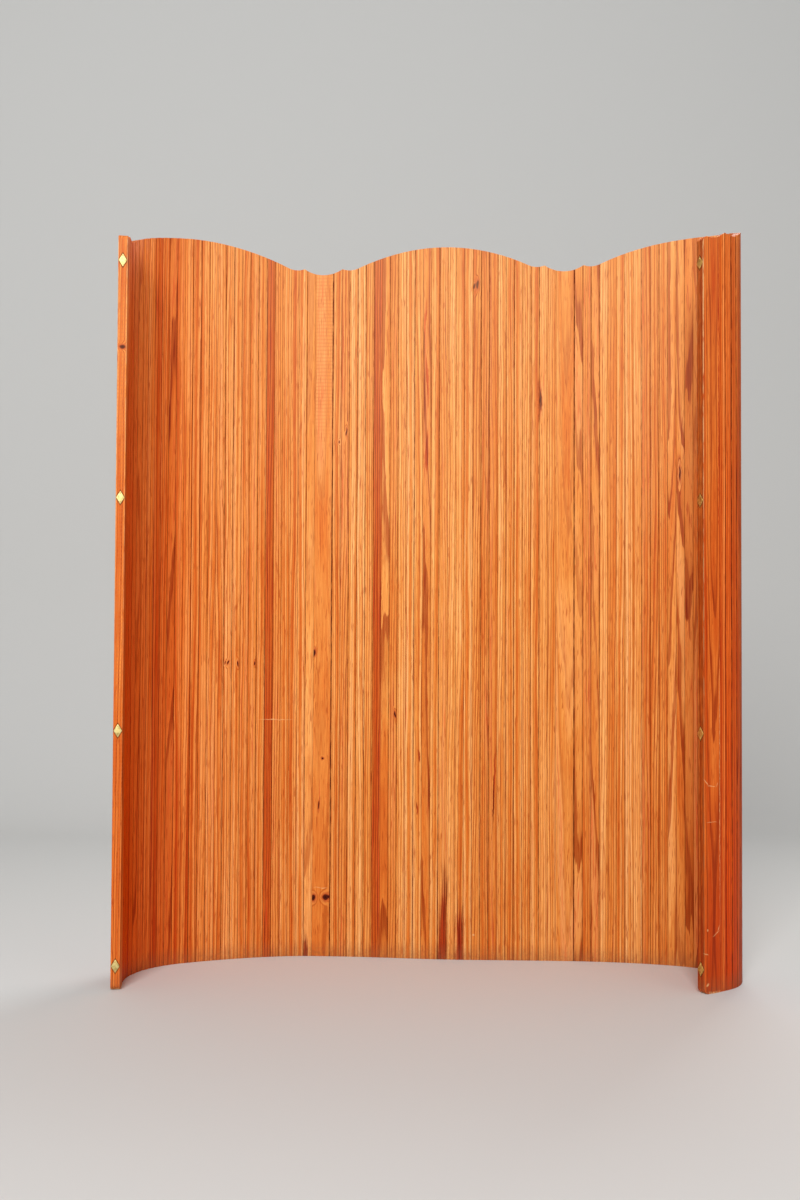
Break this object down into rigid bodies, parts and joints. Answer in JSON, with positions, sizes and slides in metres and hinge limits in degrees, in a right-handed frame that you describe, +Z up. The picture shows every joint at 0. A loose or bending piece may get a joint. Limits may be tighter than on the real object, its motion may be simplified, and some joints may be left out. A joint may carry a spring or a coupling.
{
  "type": "tambour room divider",
  "caption": "Free-standing roll-up screen of upright pine slats strung on steel wires, with a scalloped top and diamond plates on its end posts.",
  "frame": {"origin": "on the floor, under the middle of the middle slat", "axes": "+X along the screen's width, +Y out of its back, away from the hollow side that the two ends curl round, +Z up"},
  "size_m": [1.3831, 0.3528, 1.7],
  "materials": {
    "varnished_pine_slat": "orange-brown varnish over straight-grained pine, satin gloss",
    "varnished_pine_stave": "orange-brown varnish over knotty pine, satin gloss",
    "varnished_pine_post": "orange-brown varnish over pine, arrises worn pale, satin gloss",
    "steel_wire": "drawn steel wire and crimped sleeves",
    "polished_brass": "polished brass sheet and pins, lightly tarnished"
  },
  "bodies": {
    "end_post_left": {"end_post_left": "varnished_pine_post", "wires_end_post_left": "steel_wire", "wire_stops_left": "steel_wire", "brass_plates_left": "polished_brass", "plate_pins_left": "polished_brass"},
    "panel_left_1": {"slats_left_1": "varnished_pine_slat", "wires_slats_left_1": "steel_wire"},
    "panel_left_2": {"slats_left_2": "varnished_pine_slat", "wires_slats_left_2": "steel_wire"},
    "panel_left_3": {"slats_left_3": "varnished_pine_slat", "wires_slats_left_3": "steel_wire"},
    "panel_left_4": {"slats_left_4": "varnished_pine_slat", "wires_slats_left_4": "steel_wire"},
    "panel_left_5": {"slats_left_5": "varnished_pine_slat", "wires_slats_left_5": "steel_wire"},
    "panel_left_6": {"slats_left_6": "varnished_pine_slat", "wires_slats_left_6": "steel_wire"},
    "panel_left_7": {"slats_left_7": "varnished_pine_slat", "wires_slats_left_7": "steel_wire"},
    "wide_stave_left": {"wide_stave_left": "varnished_pine_stave", "wires_wide_stave_left": "steel_wire"},
    "panel_middle_1": {"slats_middle_1": "varnished_pine_slat", "wires_slats_middle_1": "steel_wire"},
    "panel_middle_2": {"slats_middle_2": "varnished_pine_slat", "wires_slats_middle_2": "steel_wire"},
    "panel_middle_3": {"slats_middle_3": "varnished_pine_slat", "wires_slats_middle_3": "steel_wire"},
    "panel_middle_4": {"slats_middle_4": "varnished_pine_slat", "wires_slats_middle_4": "steel_wire"},
    "panel_middle_5": {"slats_middle_5": "varnished_pine_slat", "wires_slats_middle_5": "steel_wire"},
    "panel_middle_6": {"slats_middle_6": "varnished_pine_slat", "wires_slats_middle_6": "steel_wire"},
    "panel_middle_7": {"slats_middle_7": "varnished_pine_slat", "wires_slats_middle_7": "steel_wire"},
    "wide_stave_right": {"wide_stave_right": "varnished_pine_stave", "wires_wide_stave_right": "steel_wire"},
    "panel_right_1": {"slats_right_1": "varnished_pine_slat", "wires_slats_right_1": "steel_wire"},
    "panel_right_2": {"slats_right_2": "varnished_pine_slat", "wires_slats_right_2": "steel_wire"},
    "panel_right_3": {"slats_right_3": "varnished_pine_slat", "wires_slats_right_3": "steel_wire"},
    "panel_right_4": {"slats_right_4": "varnished_pine_slat", "wires_slats_right_4": "steel_wire"},
    "panel_right_5": {"slats_right_5": "varnished_pine_slat", "wires_slats_right_5": "steel_wire"},
    "panel_right_6": {"slats_right_6": "varnished_pine_slat", "wires_slats_right_6": "steel_wire"},
    "panel_right_7": {"slats_right_7": "varnished_pine_slat", "wires_slats_right_7": "steel_wire"},
    "end_post_right": {"end_post_right": "varnished_pine_post", "wires_end_post_right": "steel_wire", "wire_stops_right": "steel_wire", "brass_plates_right": "polished_brass", "plate_pins_right": "polished_brass"}
  },
  "joints": [
    {"name": "bend_12", "type": "hinge", "parent": "panel_middle_4", "child": "panel_middle_3", "pos_m": [-0.02951, 0.00331, 0], "axis": [0, 0, 1], "range_deg": [-21.4, 22.6]},
    {"name": "bend_13", "type": "hinge", "parent": "panel_middle_4", "child": "panel_middle_5", "pos_m": [0.02956, -0.0029, 0], "axis": [0, 0, 1], "range_deg": [-22.6, 21.4]},
    {"name": "bend_11", "type": "hinge", "parent": "panel_middle_3", "child": "panel_middle_2", "pos_m": [-0.10792, 0.01448, 0], "axis": [0, 0, 1], "range_deg": [-22.52, 21.48]},
    {"name": "bend_14", "type": "hinge", "parent": "panel_middle_5", "child": "panel_middle_6", "pos_m": [0.10857, -0.00828, 0], "axis": [0, 0, 1], "range_deg": [-21.9, 22.1]},
    {"name": "bend_10", "type": "hinge", "parent": "panel_middle_2", "child": "panel_middle_1", "pos_m": [-0.1864, 0.02507, 0], "axis": [0, 0, 1], "range_deg": [-22.52, 21.48]},
    {"name": "bend_15", "type": "hinge", "parent": "panel_middle_6", "child": "panel_middle_7", "pos_m": [0.18764, -0.01278, 0], "axis": [0, 0, 1], "range_deg": [-21.9, 22.1]},
    {"name": "bend_09", "type": "hinge", "parent": "panel_middle_1", "child": "wide_stave_left", "pos_m": [-0.26522, 0.03279, 0], "axis": [0, 0, 1], "range_deg": [-22.91, 21.09]},
    {"name": "bend_16", "type": "hinge", "parent": "panel_middle_7", "child": "wide_stave_right", "pos_m": [0.26668, -0.01787, 0], "axis": [0, 0, 1], "range_deg": [-21.8, 22.2]},
    {"name": "bend_08", "type": "hinge", "parent": "wide_stave_left", "child": "panel_left_7", "pos_m": [-0.30912, 0.0358, 0], "axis": [0, 0, 1], "range_deg": [-25.41, 18.59]},
    {"name": "bend_17", "type": "hinge", "parent": "wide_stave_right", "child": "panel_right_1", "pos_m": [0.31057, -0.02097, 0], "axis": [0, 0, 1], "range_deg": [-20.54, 23.46]},
    {"name": "bend_07", "type": "hinge", "parent": "panel_left_7", "child": "panel_left_6", "pos_m": [-0.38816, 0.03209, 0], "axis": [0, 0, 1], "range_deg": [-24.12, 19.88]},
    {"name": "bend_18", "type": "hinge", "parent": "panel_right_1", "child": "panel_right_2", "pos_m": [0.38919, -0.03043, 0], "axis": [0, 0, 1], "range_deg": [-21.09, 22.91]},
    {"name": "bend_06", "type": "hinge", "parent": "panel_left_6", "child": "panel_left_5", "pos_m": [-0.46599, 0.01763, 0], "axis": [0, 0, 1], "range_deg": [-23.32, 20.68]},
    {"name": "bend_19", "type": "hinge", "parent": "panel_right_2", "child": "panel_right_3", "pos_m": [0.46696, -0.04529, 0], "axis": [0, 0, 1], "range_deg": [-20.68, 23.32]},
    {"name": "bend_05", "type": "hinge", "parent": "panel_left_5", "child": "panel_left_4", "pos_m": [-0.5421, -0.00419, 0], "axis": [0, 0, 1], "range_deg": [-23.01, 20.99]},
    {"name": "bend_20", "type": "hinge", "parent": "panel_right_3", "child": "panel_right_4", "pos_m": [0.54307, -0.06711, 0], "axis": [0, 0, 1], "range_deg": [-18.52, 25.48]},
    {"name": "bend_04", "type": "hinge", "parent": "panel_left_4", "child": "panel_left_3", "pos_m": [-0.59792, -0.0245, 0], "axis": [0, 0, 1], "range_deg": [-23.01, 20.99]},
    {"name": "bend_21", "type": "hinge", "parent": "panel_right_4", "child": "panel_right_5", "pos_m": [0.59684, -0.09216, 0], "axis": [0, 0, 1], "range_deg": [-18.47, 25.53]},
    {"name": "bend_03", "type": "hinge", "parent": "panel_left_3", "child": "panel_left_2", "pos_m": [-0.66575, -0.06444, 0], "axis": [0, 0, 1], "range_deg": [-27.85, 16.15]},
    {"name": "bend_22", "type": "hinge", "parent": "panel_right_5", "child": "panel_right_6", "pos_m": [0.64536, -0.15175, 0], "axis": [0, 0, 1], "range_deg": [-9.44, 34.56]},
    {"name": "bend_02", "type": "hinge", "parent": "panel_left_2", "child": "panel_left_1", "pos_m": [-0.70963, -0.12938, 0], "axis": [0, 0, 1], "range_deg": [-29.42, 14.58]},
    {"name": "bend_23", "type": "hinge", "parent": "panel_right_6", "child": "panel_right_7", "pos_m": [0.63147, -0.22764, 0], "axis": [0, 0, 1], "range_deg": [-12.21, 31.79]},
    {"name": "bend_01", "type": "hinge", "parent": "panel_left_1", "child": "end_post_left", "pos_m": [-0.71745, -0.20765, 0], "axis": [0, 0, 1], "range_deg": [-26.39, 17.61]},
    {"name": "bend_24", "type": "hinge", "parent": "panel_right_7", "child": "end_post_right", "pos_m": [0.57178, -0.2783, 0], "axis": [0, 0, 1], "range_deg": [-16.99, 27.01]}
  ]
}
